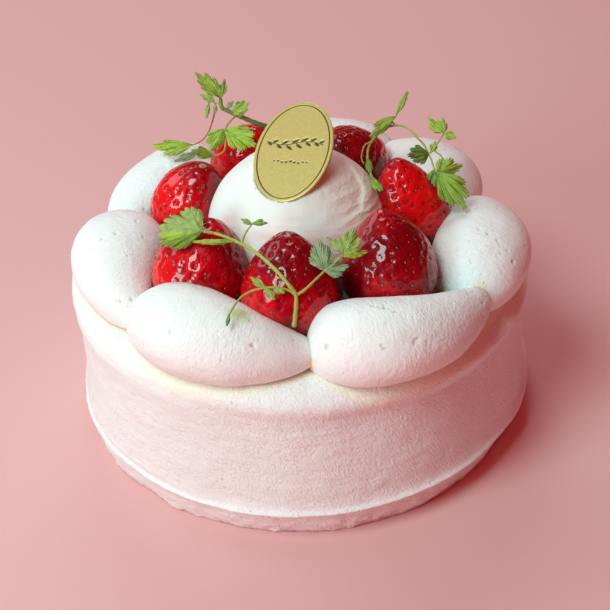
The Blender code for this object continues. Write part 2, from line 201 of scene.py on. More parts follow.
class Look:
    # a material whose settings hold its colours, strengths and depths, which the nodes take by name
    def __init__(self, name, settings):
        self.settings = settings
        self.material = bpy.data.materials.new(name)
        self.material.use_nodes = True
        self.tree = self.material.node_tree
        self.shader = self.tree.nodes["Principled BSDF"]
        self.place = self.add("ShaderNodeTexCoord", output="Object")
        for key, value in settings["allOver"].items():
            self.shader.inputs[key].default_value = value

    def given(self, value):
        if isinstance(value, Wire):
            return value.socket
        return self.settings[value] if isinstance(value, str) else value

    def add(self, kind, sockets=None, output=0, **settings):
        sockets = {key: self.given(value) for key, value in (sockets or {}).items()}
        return Wire(self, addNode(self.tree, kind, sockets, **settings).outputs[output])

    def mix(self, factor, low, high):
        return self.add("ShaderNodeMix", {0: factor, 6: low, 7: high}, 2, data_type="RGBA")

    def ease(self, value, low, high):
        # 0 below low, 1 above high, and smooth between them
        return self.add("ShaderNodeMapRange", {"Value": value, "From Min": low, "From Max": high},
                        interpolation_type="SMOOTHSTEP")

    def noise(self, size, detail=2, stretch=(1, 1, 1), turn=(0, 0, 0)):
        # Perlin noise whose lumps are about as large as size, in mm
        scale = [size * mm * part for part in stretch]
        place = self.add("ShaderNodeMapping", {"Vector": self.place, "Rotation": turn, "Scale": scale},
                         vector_type="TEXTURE")
        return self.add("ShaderNodeTexNoise", {"Vector": place, "Scale": 1, "Detail": detail})

    def value(self, name, output="Fac"):
        return self.add("ShaderNodeAttribute", output=output, attribute_name=name)

    def dab(self, tint, colour, spots, strength=1):
        # a colour laid over the tint at spots of x, y, z and radius in mm, fading towards their edges
        for *spot, radius in self.settings[spots]:
            away = self.add("ShaderNodeVectorMath", {0: self.place, 1: [part * mm for part in spot]},
                            "Value", operation="DISTANCE")
            near = 1 - self.ease(away, 0.15 * radius * mm, radius * mm)
            tint = self.mix(near * strength, tint, colour)
        return tint

    def bump(self, height, depth, under=None):
        sockets = {"Height": height, "Distance": self.settings[depth] * mm, "Strength": 1}
        if under:
            sockets["Normal"] = under
        return self.add("ShaderNodeBump", sockets)

    def finish(self, tint, uneven, relief=None):
        rough = uneven * "roughSpread" + "leastRough"
        for key, wire in (("Base Color", tint), ("Roughness", rough), ("Normal", relief)):
            if wire:
                self.tree.links.new(wire.socket, self.shader.inputs[key])
        return self.material


def rgb(red, green, blue):
    # a screen colour, 0 to 255, as the linear colour that Blender works in
    parts = [part / 255 for part in (red, green, blue)]
    return [part / 12.92 if part < 0.04045 else ((part + 0.055) / 1.055) ** 2.4 for part in parts] + [1]


creamLook = {
    "allOver": {"Subsurface Weight": 0.32, "Subsurface Scale": 0.005, "Subsurface Radius": (1, 0.9, 0.8),
                "Specular IOR Level": 0.35},
    "leastRough": 0.42, "roughSpread": 0.2,
    "white": rgb(245, 245, 243),
    "shade": rgb(241, 240, 236),
    # painted shade: the warm colour laid on the dollop's shaded right side
    "warmShade": rgb(236, 229, 212),
    # painted glow: the yellow that translucent cream shows in its creases
    "creaseGlow": rgb(250, 228, 176),
    # painted shade inside the bubble pits
    "pitShade": rgb(214, 204, 176),
    # painted green shadow of a chervil leaf on the cream
    "leafShade": rgb(176, 200, 96),
    "wrinkle": 0.58, "grain": 0.25, "pore": 0.3,            # depths in mm
    "bendAcross": 2.2, "bendUp": 2, "poresPerMetre": 300,
    "creaseGlowTint": 0.32, "pitShadeTint": 0.7, "foldGlowTint": 0.5, "leafShadeTint": 0.7,
    # places of painted yellow glow in the folds between mounds
    "folds": ((60, -40.5, 73, 3.6), (2.6, -69, 66.5, 3.4)),       # x, y, z and radius in mm
    # place of the painted green shadow of the leaf tip
    "leafShadeSpots": ((-19.5, -60.5, 83, 6.5),),
}


def whippedCream():
    look = Look("whippedCream", creamLook)
    tint = look.mix(look.noise(9, 3), "shade", "white")
    # painted warm shade, where the dollop's value asks for it
    tint = look.mix(look.value("warmShade"), tint, "warmShade")
    # painted yellow glow along the creases where the mounds meet the cake
    tint = look.mix(look.value("crease") * "creaseGlowTint", tint, "creaseGlow")
    # painted shade inside the bubble pits on the mounds
    tint = look.mix(look.value("pitShade") * "pitShadeTint", tint, "pitShade")
    # painted yellow glow at the folds between mounds
    tint = look.dab(tint, "creaseGlow", "folds", "foldGlowTint")
    # painted green shadow where a leaf tip hangs over the cream
    tint = look.dab(tint, "leafShade", "leafShadeSpots", "leafShadeTint")
    across, up = look.noise(4) * "bendAcross", look.noise(5) * "bendUp"
    bend = look.add("ShaderNodeCombineXYZ", {"X": across, "Z": up})
    flow = look.add("ShaderNodeVectorMath", {0: look.value("flow", "Vector"), 1: bend}, operation="ADD")
    wrinkles = look.add("ShaderNodeTexNoise", {"Vector": flow, "Scale": 1, "Detail": 2, "Roughness": 0.55})
    spots = look.add("ShaderNodeTexVoronoi", {"Vector": look.place, "Scale": "poresPerMetre"}, "Distance")
    pores = look.ease(spots, 0.05, 0.17) + look.ease(look.noise(4), 0.38, 0.44)     # only here and there
    relief = look.bump(wrinkles * look.value("rough"), "wrinkle")
    relief = look.bump(look.noise(0.7) * look.value("rough"), "grain", relief)
    relief = look.bump(pores.maths("MINIMUM", 1), "pore", relief)
    return look.finish(tint, look.noise(2.5), relief)


berryLook = {
    "allOver": {"Coat Weight": 1, "Coat Roughness": 0.035, "Coat IOR": 1.4, "Specular IOR Level": 0.1,
                "Subsurface Weight": 0.08, "Subsurface Scale": 0.003, "Subsurface Radius": (1, 0.2, 0.1)},
    "leastRough": 0.26, "roughSpread": 0.16,
    "deep": rgb(120, 0, 12),
    "red": rgb(218, 0, 25),
    "bright": rgb(244, 16, 20),
    # painted shade for the dimples round the seeds
    "dimple": rgb(104, 0, 8),
    # places of painted light, where the berries are laid on brighter red as if lit and glowing
    "paintedLight": ((-17.5, -48, 72, 16), (-44, -31, 76, 15), (-46, 8, 82, 20),
             (-16.5, 42, 84, 26), (44, -6, 88, 20)),      # x, y, z and radius in mm
    # places of painted shade, laid on in the deep red
    "shade": ((-1, -43, 95, 19), (33, -36, 82, 21), (-20, -32, 86, 15)),
    "shadeTint": 0.75, "brightTint": 0.35, "dimpleShadeTint": 0.7,
    "sunk": -0.1, "puckered": 0.5, "rippled": 0.24,         # depths in mm, below 0 where they go inwards
}


def strawberryFlesh():
    look = Look("strawberryFlesh", berryLook)
    tint = look.mix(look.ease(look.noise(16), 0.3, 0.7), "deep", "red")
    # painted light: brighter red at the lit places
    tint = look.dab(tint, "bright", "paintedLight")
    # painted shade: deep red at the shaded places
    tint = look.dab(tint, "deep", "shade", "shadeTint")
    tint = look.mix(look.ease(look.noise(7), 0.5, 0.75) * "brightTint", tint, "bright")
    dimple = look.value("dimple")
    # painted shade in the dimples round the seeds
    tint = look.mix(look.ease(dimple, 0.25, 1) * "dimpleShadeTint", tint, "dimple")
    relief = look.bump(dimple, "sunk")
    relief = look.bump(look.noise(2, 1, (1, 1, 1.4)), "puckered", relief)
    relief = look.bump(look.noise(1, 1), "rippled", relief)
    return look.finish(tint, look.noise(2), relief)


seedLook = {
    "allOver": {"Coat Weight": 0.5, "Coat Roughness": 0.1, "Specular IOR Level": 0.3},
    "leastRough": 0.3, "roughSpread": 0.2,
    "pale": rgb(188, 100, 40),
    "dark": rgb(116, 18, 14),
}


def strawberrySeed():
    look = Look("strawberrySeed", seedLook)
    tint = look.mix(look.ease(look.noise(3), 0.4, 0.65), "pale", "dark")
    return look.finish(tint, look.noise(0.5))


cardLook = {
    "allOver": {"Metallic": 0.5},
    "leastRough": 0.36, "roughSpread": 0.16,
    "gold": rgb(216, 200, 124),
    "deepGold": rgb(192, 172, 94),
    "line": rgb(70, 56, 26),
    "brushed": 0.04, "mottled": 0.06,       # depths in mm
}


def goldCardFace():
    look = Look("goldCardFace", cardLook)
    brushed = look.noise(0.45, 3, (1, 5, 1), (0, 0, -0.3))
    mottled = look.noise(1.1, 3)
    tint = look.mix(0.5 * brushed + 0.6 * mottled, "deepGold", "gold")
    tint = look.mix(look.value("line"), tint, "line")
    relief = look.bump(mottled, "mottled", look.bump(brushed, "brushed"))
    return look.finish(tint, brushed, relief)


leafLook = {
    "allOver": {"Subsurface Weight": 0.1, "Subsurface Scale": 0.001, "Specular IOR Level": 0.4},
    "leastRough": 0.4, "roughSpread": 0.2,
    "young": rgb(164, 194, 46),
    "grown": rgb(84, 124, 46),
    "grey": rgb(136, 158, 126),
    "vein": rgb(186, 206, 130),
    "stem": rgb(164, 172, 80),
    "redStem": rgb(172, 104, 60),
    "darkStem": rgb(70, 84, 40),
    "mottledTint": 0.55, "veinTint": 0.55,
    "veinSunk": -0.25, "uneven": 0.16,      # depths in mm, below 0 where they go inwards
}


def chervilGreen():
    look = Look("chervilGreen", leafLook)
    tone, vein = look.value("tone"), look.value("vein")
    tint = look.mix(look.ease(tone, 0, 0.5), "grown", "young")
    tint = look.mix(look.ease(tone, 0.6, 1), tint, "grey")
    tint = look.mix(look.ease(look.noise(2, 3), 0.45, 0.7) * "mottledTint", tint, "grown")
    tint = look.mix(vein * "veinTint", tint, "vein")
    stem = look.mix(look.value("red"), "stem", "redStem")
    stem = look.mix(look.value("dark"), stem, "darkStem")
    tint = look.mix(look.value("stem"), tint, stem)
    relief = look.bump(look.noise(0.8), "uneven", look.bump(vein, "veinSunk"))
    return look.finish(tint, look.noise(1.5), relief)


cream = whippedCream()
flesh = strawberryFlesh()
seedSkin = strawberrySeed()
cardFace = goldCardFace()
chervil = chervilGreen()
print("materials made")


# The mounds' places on the cake, which the cake under them needs as well

Mound = namedtuple("Mound", "head tail ringHead ringMiddle ringTail width height taper lift")
mounds = {
    "pieces": (                     # angles in degrees, the taper as a power, the rest in mm
        Mound(-147, -83, 61.5, 65.5, 63, 17, 22, 0.80, 2.5),
        Mound(-89, -25, 60.5, 71.5, 71, 16.3, 22.5, 1.10, 4),
        Mound(-36, 19, 66.5, 65.5, 63, 17.3, 21.5, 0.80, 1.5),
        Mound(14, 64, 61, 62, 60.5, 15, 19, 0.75, 1),
        Mound(51, 113, 60.5, 58, 60, 15, 18.5, 0.75, 1),
        Mound(116, 171, 59.5, 61.5, 67, 15, 18, 0.75, 1),
        Mound(166, 219, 61, 64.5, 68, 16.5, 20.5, 0.75, 0.5),
    ),
    "along": 230, "overTop": 150, "underneath": 14,     # points along a mound and round it
    "edge": 22,                   # degrees below level where the underside starts
    "headPower": 0.45, "topPower": 0.8, "footPower": 0.7, "belly": 0.42, "footWidth": 0.86,
    "gap": 0.35, "sunk": 0.6,       # mm above the cake's top, and into its rim
    "lumps": ((0.5, 15, 0), (0.16, 5, 20), (0.06, 1.6, 30)),        # depth and size in mm, seed
    "rough": 0.62, "patchy": 0.7, "roughTail": {2: 0.5},
    "stroke": 0.85, "strokeLength": 2.6, "girth": 17, "ring": 65,   # mm
    "bubbles": 18,                  # on each mound, besides the placed ones
    "bubbleDepth": 0.85,
    "placedBubbles": {              # on each mound, as x, y and size in mm
        1: ((-15.5, -71.6, 0.9), (-42.2, -65.6, 0.6), (-33.2, -44.6, 0.8), (-31.4, -45.2, 0.6),
            (-35, -45.4, 0.5)),
        2: ((23.4, -62.6, 0.7), (25.2, -63, 0.5), (26.8, -63.8, 0.8), (28.4, -64.6, 0.5),
            (30.2, -65.7, 0.7), (7.7, -72.2, 1.2), (24.9, -77, 0.6), (25.9, -77.6, 0.7),
            (36.8, -74.1, 0.8), (39.6, -73.9, 0.5)),
        3: ((61.8, -21.3, 0.6), (64.5, -24.1, 0.7), (67.6, -27, 0.6), (70.6, -30, 0.6),
            (57.7, -34.3, 0.5)),
        7: ((-55.9, -3.6, 0.7), (-67.4, -13.6, 0.6), (-62.6, -11.6, 0.8), (-56.6, -36.9, 0.8)),
    },
}
creaseWidth = 1.2                   # mm of painted yellow glow of the translucent cream where a mound meets the cake


def teardrop(along, taper):
    # a mound's fatness along it: 0 at both ends and 1 near the head
    power = mounds["headPower"]
    fattest = power / (power + taper)
    peak = fattest ** power * (1 - fattest) ** taper
    return along ** power * (1 - along) ** taper / peak


def moundRing(mound, step):
    # the middle line of a mound, as its distance from the middle of the cake
    ahead = 1 - step
    return (mound.ringHead * ahead * (ahead - step) + 4 * mound.ringMiddle * ahead * step
            + mound.ringTail * step * (step - ahead))


# The coated cake

cake = {
    "height": 62,                 # lengths and depths in mm
    "side": ((60, 62), (66, 62), (70, 61.85), (73, 61.5), (75.5, 60.8), (77.7, 59.5),
             (79.5, 57.8), (80.7, 55.7), (81.2, 53.4), (81.2, 51), (81, 48.5), (80.8, 45),
             (80.7, 38), (80.8, 30), (80.9, 24), (81, 19.8), (81.2, 17.1), (81.6, 15.2),
             (82.3, 13.8), (83.1, 12.8), (83.3, 12), (82.4, 11.2), (81.3, 10.2), (80.7, 8),
             (79.6, 4), (77.8, 0)),     # radius and height, from the top down
    "dropLeft": 1.4, "dropRight": 3.8,      # how much higher the rim is on the left and lower on the right
    "hollow": 49.8, "hollowTop": 56.8,      # heights of the band that is drawn in under the rim
    "hollowHigh": 4.4, "hollowSoft": 3,   # how much higher it is at the left and softer at the front
    "hollowLeft": 0.9, "hollowFront": 2.1, "hollowRight": 3, "hollowFoot": 20, "sideLip": 1.3,
    "columns": 420, "step": 0.6, "ridgeStep": 0.25, "wallRadius": 80,
    "sways": ((0.35, 2, 0.4), (0.22, 5, 2), (0.12, 11, 0)),     # mm, waves round the wall, start
    "footSway": (0.35, 17, 1), "leftHollow": 0.9,
    "ridge": 12.9, "ridgeOut": 0.5, "ridgeLeft": 1.6, "ridgeRagged": 0.3, "ridgeSway": 0.5,
    "notch": 11.5, "notchIn": 0.4,
    "lumps": ((1, 12, 5), (0.5, 4.5, 6)),     # share, size in mm, seed
    "streak": 0.14, "lump": 0.25, "small": 0.1, "neck": 0.3, "ragged": 0.65, "blob": 1.5,
    "topLump": 0.3, "topSmall": 0.06,
    "stroke": 0.95, "strokeLength": 1.5, "strokeLean": 0.5,         # the marks that the spreading knife left
    "dents": ((69.8, -37, 58, 1.3, 0.9), (53.9, -59.6, 56.5, 0.9, 0.6), (2.1, -72.2, 62, 1.1, 0.5),
              (5.3, -71.5, 62, 0.9, 0.5), (-63.8, -51.1, 49.4, 1, 0.5), (-59.9, -54.6, 42.3, 0.9, 0.5),
              (-42.3, -70.7, 54.6, 0.9, 0.5), (-14.9, -76.3, 60.6, 0.8, 0.5), (-50.8, -64.3, 19.3, 1.1, 0.4)),
    "dentDepth": 0.7,
}


def wallUnevenness(angle, height):
    sway = sum(size * np.sin(waves * angle + start) for size, waves, start in cake["sways"])
    size, waves, start = cake["footSway"]
    foot = size * np.sin(waves * angle + start) * hump(height, 0, 9)
    return sway + foot - cake["leftHollow"] * hump(np.abs(angle), pi, 0.5) * hump(height, 31, 9)


def rimDrop(angle, height):
    # the rim sinks from the left to the right, and less so at the back
    across = np.cos(angle)
    drop = np.where(across < 0, cake["dropLeft"], cake["dropRight"]) * across
    toBack = np.interp(angle, (-pi, 0, 0.4 * pi, 0.6 * pi, pi), (0, 0, pi, pi, 0))
    top = cake["height"]
    onRim = ramp(height, top - 19, top - 10) * ramp(height, top, top - 1.6)
    return -0.5 * drop * (1 + np.cos(toBack)) * onRim


def hollowBand(angle, height):
    # how far the wall stands out at the rim and is drawn in under it
    turn = np.degrees(angle)
    left, front, right = cake["hollowLeft"], cake["hollowFront"], cake["hollowRight"]
    depth = np.interp(turn, (-125, -95, -50, -25, 0), (left, front, right, right, left))
    higher = cake["hollowHigh"] * np.interp(turn, (-180, -150, -125, -95), (0.3, 1, 1, 0))
    soft = cake["hollowSoft"] * hump(turn, -80, 35)
    top, deepest = cake["hollowTop"] + 0.4 * higher + soft, cake["hollow"] + higher
    inward = ease(height, top, deepest) * ramp(height, cake["hollowFoot"], deepest)
    return cake["sideLip"] * np.cos(angle) ** 6 * hump(height, 54, 4) - depth * inward


def cakeTop(radius, angle):
    # the height of the cake's top and rim at a place
    side = smoothRun(cake["side"], 8)
    upper = side[side[:, 1] > 55.5]
    height = np.interp(radius, upper[:, 0], upper[:, 1])
    return height + rimDrop(angle, height)


def sideProfile():
    # the side as evenly spaced points, closer together at the ridge
    run = smoothRun(cake["side"], 24)
    steps = np.hypot(*np.diff(run, axis=0).T)
    gone = np.concatenate([[0], np.cumsum(steps)])
    nearRidge = np.abs(run[1:, 1] - cake["ridge"]) < 3.2
    rows = np.concatenate([[0], np.cumsum(steps / np.where(nearRidge, cake["ridgeStep"], cake["step"]))])
    places = np.interp(np.linspace(0, rows[-1], int(rows[-1]) + 1), rows, gone)
    radii, heights = np.interp(places, gone, run[:, 0]), np.interp(places, gone, run[:, 1])
    ridge = cake["ridgeOut"] * hump(heights, cake["ridge"], 0.5)
    return radii + ridge - cake["notchIn"] * hump(heights, cake["notch"], 0.55), heights


def creamFoot(angle):
    # how far out the mounds of cream reach on the cake at each angle
    reach = np.zeros(angle.shape)
    for mound in mounds["pieces"]:
        turns = (np.degrees(angle) - mound.head + 180) % 360 - 180
        step = turns / (mound.tail - mound.head)
        inside = (step > 0.001) & (step < 0.999)
        step = np.clip(step, 0.001, 0.999)
        foot = moundRing(mound, step) + mounds["footWidth"] * mound.width * teardrop(step, mound.taper)
        reach = np.maximum(reach, inside * foot)
    return reach


def cakeBody():
    radii, heights = sideProfile()
    top, bottom = np.linspace(0, 55, 8), np.array([60, 30, 0])
    radii = np.concatenate([top, radii, bottom])
    heights = np.concatenate([0 * top + cake["height"], heights, 0 * bottom])
    gone = np.concatenate([[0], np.cumsum(np.hypot(np.diff(radii), np.diff(heights)))])
    radius, angle, height = turnProfile(radii, heights, cake["columns"])
    flat = onCake(radius, angle, height)
    offFloor = height > 0.01
    onWall = ramp(height, 59, 54) * offFloor
    onTop = ramp(radius, 52, 60) * ramp(height, 54, 58)
    streaks = grain(flat * (1, 1, 7), 17, 3) + 0.6 * grain(flat * (1, 1, 5), 6, 8)
    large = lumps(flat, cake["lumps"])
    small = grain(flat, 3.2, 9)
    neck = grain(flat * (1, 1, 0.4), 22, 12) * hump(height, 48, 6)
    blobs = np.maximum(grain(flat, 5, 10) - 0.12, 0) * hump(height, 0, 3.5)
    torn = grain(flat * (1, 1, 0.6), 2, 15) * hump(height, 12.3, 1)
    out = onWall * (wallUnevenness(angle, height) + cake["streak"] * streaks + cake["lump"] * large
                    + cake["small"] * small + cake["neck"] * neck)
    out = out + hollowBand(angle, height) + cake["ridgeRagged"] * torn
    out = out - cake["ridgeLeft"] * ramp(-np.cos(angle), 0.3, 0.8) * hump(height, cake["ridge"], 1.7)
    out = out + offFloor * (cake["ragged"] * small * hump(height, 3, 5.5) + cake["blob"] * blobs)
    up = onTop * (cake["topLump"] * large + cake["topSmall"] * small) + rimDrop(angle, height)
    up = up + cake["ridgeSway"] * grain(flat * (1, 1, 0), 24, 14) * hump(height, 12.5, 5)
    for *centre, size, depth in cake["dents"]:
        hole = cake["dentDepth"] * depth * hump(np.linalg.norm(flat - centre, axis=-1), 0, size)
        out, up = out - hole, up - hole * (height > 50)
    points = onCake(radius + out, angle, height + up) * mm
    wall = cake["wallRadius"]
    lean = angle + cake["strokeLean"] / wall * height
    flow = onCake(wall / cake["stroke"], lean, gone[:, None] / cake["strokeLength"])
    # where a mound meets the cake: painted yellow glow
    crease = hump(np.maximum(radius - creamFoot(angle), 0), 0, creaseWidth) * (height > 55)
    rough = (0.75 + 0.3 * onWall) * (1 - 0.4 * hump(height, 13.4, 1.5))
    piece = makePiece("cakeCoat", points, gridFaces(*radius.shape), cream,
                      {"flow": flow, "rough": rough, "crease": crease})
    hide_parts("cake_body")


cakeBody()
print("cake made")


# The mounds of cream round the rim, each a head with a tail

def creamMound(number, mound):
    chance = np.random.default_rng(40 + number)
    along = 0.5 * (1 - np.cos(np.linspace(0, pi, mounds["along"])))
    edge = mounds["edge"]
    over = np.linspace(-edge, 180 + edge, mounds["overTop"])
    under = np.linspace(180 + edge, 360 - edge, mounds["underneath"] + 2)[1:-1]
    turn, step = np.meshgrid(np.radians(np.concatenate([over, under])), along)
    side, rise = np.cos(turn), np.sin(turn)
    side = np.where(rise < 0, np.sign(side) * np.abs(side) ** mounds["footPower"], side)
    fat = teardrop(step, mound.taper)
    angle = np.radians(mound.head + (mound.tail - mound.head) * step)
    radius = moundRing(mound, step) + mound.width * fat * side
    belly = mounds["belly"]
    height = (cake["height"] + mounds["gap"] + mound.lift * step ** 3
              + mound.height * fat ** mounds["topPower"] * (belly + (1 - belly) * rise))
    flat = onCake(radius, angle, height)
    out = lumps(flat, mounds["lumps"], number) * ramp(fat, 0, 0.25)
    rows = chance.integers(20, mounds["along"] - 30, mounds["bubbles"])
    columns = chance.integers(16, mounds["overTop"] - 16, mounds["bubbles"])
    sizes = 0.3 + 0.45 * chance.random(mounds["bubbles"]) ** 2
    pits = list(zip(flat[rows, columns], sizes))
    for x, y, size in mounds["placedBubbles"].get(number, ()):
        away = np.hypot(flat[..., 0] - x, flat[..., 1] - y) + 50 * (rise < 0.2)     # on the upper side only
        pits.append((flat.reshape(-1, 3)[np.argmin(away)], size))
    # how far inside a pit each point lies, for the painted shade there
    inPit = np.zeros(out.shape)
    for centre, size in pits:
        size = mounds["bubbleDepth"] * size
        away = np.linalg.norm((flat - centre) * (0.7 + 0.7 * chance.random(3)), axis=-1) / size
        out = out - size * np.exp(-away ** 3)
        inPit = np.maximum(inPit, np.exp(-away ** 3))
    radius, height = radius + out * side, height + out * rise
    floor = cakeTop(radius, angle)
    height = np.maximum(height, floor - mounds["sunk"])
    points = onCake(radius, angle, height) * mm
    reach = np.radians(abs(mound.tail - mound.head)) * mounds["ring"]
    girth = mounds["girth"] / mounds["strokeLength"]
    flow = np.stack([step * reach / mounds["stroke"], girth * np.cos(turn), girth * np.sin(turn)], axis=-1)
    strength = mounds["rough"] * (1 + mounds["patchy"] * grain(flat, 22, number + 50))
    strength = strength + mounds["roughTail"].get(number, 0) * ramp(step, 0.25, 0.5)
    # where the mound meets the cake: painted yellow glow
    crease = hump(np.maximum(height - floor, 0), 0, creaseWidth)
    piece = makePiece(f"creamMound{number}", points, gridFaces(*turn.shape), cream,
                      {"flow": flow, "rough": strength, "pitShade": inPit, "crease": crease})
    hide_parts(f"cream_mound_{number}")


for number, mound in enumerate(mounds["pieces"], 1):
    creamMound(number, mound)
print("mounds made")


# The card's place, which the dollop under it needs as well

card = {
    "centre": (0.2, -1.4, 105.6), "across": (13.5, -5.4, 1.7), "up": (5.5, 17, 10),
    "halfWidth": 14, "halfLength": 19.6, "thickness": 1, "gap": 0.3,        # mm
    "columns": 360, "rings": 105, "border": 2,
    "line": 1.35, "lineWidth": 0.3,     # the fine oval line, from the edge, in mm
    "groove": ((-2.2, 0, 0), (-1.3, 0.02, 0.5), (-0.6, 0.2, 1), (0.6, 0.2, 1), (1.3, -0.02, 0.5),
               (2.4, -0.03, 0)),      # across the line in half widths, its depth in mm and how dark it is
    "rim": ((0.55, -0.03), (0.3, 0), (0.12, 0.04), (0.03, 0.12), (0, 0.24)),    # mm from the edge, depth
    "stroke": 0.36, "cut": 0.22,        # the ornament's lines, in mm
}
cardAcross = Vector(card["across"]).normalized()
cardUp = Vector(card["up"])
cardUp = (cardUp - cardAcross * cardUp.dot(cardAcross)).normalized()
cardAxes = np.array([cardAcross, cardUp, cardAcross.cross(cardUp)])
cardOval = card["halfWidth"] + card["gap"], card["halfLength"] + card["gap"]


# The dollop in the middle

dollop = {
    "profile": ((0, 104.6), (6, 103.2), (12.5, 100.4), (18.5, 97), (23.5, 93), (27.8, 87.6),
                (30.6, 81), (31.5, 74), (30.5, 68), (28, 61.8)),     # mm
    "steps": 20, "columns": 330,
    "lumps": ((0.45, 14, 60), (0.15, 4, 61), (0.05, 1.5, 62)),      # depth and size in mm, seed
    "bends": ((1.6, 9, 63), (0.5, 3, 64)),
    "ridge": 0.42, "ridgeGap": 2.9, "ridgeClimb": 2.4, "frontRidges": 0.3,
    "fold": 1.5, "foldTop": 90, "foldRise": 11, "foldFall": 4,
    "rough": 0.22, "stroke": 0.9, "strokeLength": 3, "warmShade": 0.65,
}


def creamDollop():
    profile = smoothRun(dollop["profile"], dollop["steps"])
    top, bottom = profile[0, 1], profile[-1, 1]
    profile = np.vstack([profile, (0, bottom)])
    radius, angle, height = turnProfile(np.maximum(profile[:, 0], 0), profile[:, 1], dollop["columns"])
    flat = onCake(radius, angle, height)
    out = lumps(flat, dollop["lumps"])
    bent = lumps(flat, dollop["bends"])
    swirl = (height + dollop["ridgeClimb"] * angle + bent) / dollop["ridgeGap"]
    right = hump(angle, -0.4, 0.6)      # the side that is ridged and folded, and given painted warm shade
    front = dollop["frontRidges"] * hump(angle, -1.4, 0.5) * ramp(height, 96, 93)
    strength = (right + front) * ramp(height, 99, 94) * (0.55 + 0.9 * grain(flat, 10, 65))
    out = out + dollop["ridge"] * strength * (1 - 2 * np.abs(np.sin(pi * swirl)) ** 0.7)
    edge = (dollop["foldTop"] + dollop["foldRise"] * np.maximum(angle + 0.6, 0) ** 1.3
            - dollop["foldFall"] * np.maximum(-0.8 - angle, 0))
    under = 1 / (1 + np.exp(np.clip((height - edge - 0.6 * bent) / 0.3, -30, 30)))
    out = out + dollop["fold"] * right * under * ramp(height, 66, 76)
    out = out * (height > cake["height"])
    slope = ramp(height, top, top - 25)
    height = height + out * (1 - slope)
    points = onCake(radius + out * slope * ramp(radius, 0, 6), angle, height)
    onCard = (points - card["centre"]) @ cardAxes.T
    reach = np.hypot(*np.moveaxis(onCard[..., :2] / cardOval, -1, 0))
    press = np.maximum(onCard[..., 2] + 0.5 * card["thickness"] + card["gap"], 0) * (reach < 1)
    points = (points - press[..., None] * cardAxes[2]) * mm
    flow = onCake(26 / dollop["strokeLength"], angle, height / dollop["stroke"])
    piece = makePiece("creamDollop", points, gridFaces(*radius.shape), cream,
                      {"flow": flow, "rough": dollop["rough"] + 0.4 * right,
                       # painted warm shade, strongest on the shaded right side
                       "warmShade": dollop["warmShade"] * (0.45 + 0.95 * right)})
    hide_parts("cream_dollop")


creamDollop()
print("dollop made")


# The gold card

def ornament():
    # engraved lines, as points in mm with each line's half width: a leafy twig over a row of dots
    def twig(x):
        return np.stack([x, 3.2 + 0.9 * np.sin(0.32 * x)], axis=-1)

    stroke = card["stroke"]
    lines = [(twig(np.linspace(-10.2, 10.2, 60)), 0.6 * stroke)]
    steps = np.linspace(0, 1, 16)[:, None]
    for number, x in enumerate(np.linspace(-9.2, 9.6, 12)):
        side = 1 if number % 2 else -1
        long = 3.6 - 0.16 * abs(x)
        leaf = twig(x - 0.8) + long * np.hstack([0.75 * steps, side * (0.8 * steps - 0.25 * steps ** 2)])
        lines += [(leaf, 0.5 * stroke), (leaf[4:13], stroke), (leaf[6:11], 1.5 * stroke)]
    for x in np.linspace(-6, 6, 9):
        lines.append((np.array([[x, -4.2 + 0.3 * cos(1.2 * x)]]), 0.5 - 0.03 * abs(x)))
    return lines


def goldCard():
    half, longer = card["halfWidth"], card["halfLength"] - card["halfWidth"]
    inside = half - card["border"]
    face, rings = 0.5 * card["thickness"], card["rings"]
    groove, rim = np.array(card["groove"]), np.array(card["rim"])
    reach = np.concatenate([np.linspace(0, inside, rings),
                            half - card["line"] + 0.5 * card["lineWidth"] * groove[:, 0], half - rim[:, 0],
                            [half, half - 0.15, 0.6 * half, 0]])
    level = np.concatenate([np.full(rings, face), face - groove[:, 1], face - rim[:, 1],
                            [0.15 - face, -face, -face, -face]])
    marks = np.zeros(len(reach))
    marks[rings:rings + len(groove)] = groove[:, 2]
    turns = np.linspace(0, 2 * pi, card["columns"], endpoint=False)
    reach, turn = np.meshgrid(reach, turns, indexing="ij")
    level, marks = (part[:, None] * np.ones_like(turn) for part in (level, marks))
    longest = np.where(reach <= inside, reach / inside * (inside + longer), reach + longer)
    x, y = reach * np.cos(turn), longest * np.sin(turn)
    spots = np.stack([x, y], axis=-1)[:rings, :, None]
    depth = np.zeros(marks[:rings].shape)
    for run, halfStroke in ornament():
        away = np.min(np.linalg.norm(spots - run, axis=-1), axis=-1) / halfStroke
        depth = np.maximum(depth, ramp(away, 1.5, 0.5))
    level[:rings] -= card["cut"] * depth
    marks[:rings] = depth
    points = (np.stack([x, y, level], axis=-1) @ cardAxes + card["centre"]) * mm
    piece = makePiece("goldCard", points, gridFaces(*reach.shape), cardFace, {"line": marks})
    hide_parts("gold_card")


goldCard()
print("card made")


# The strawberries

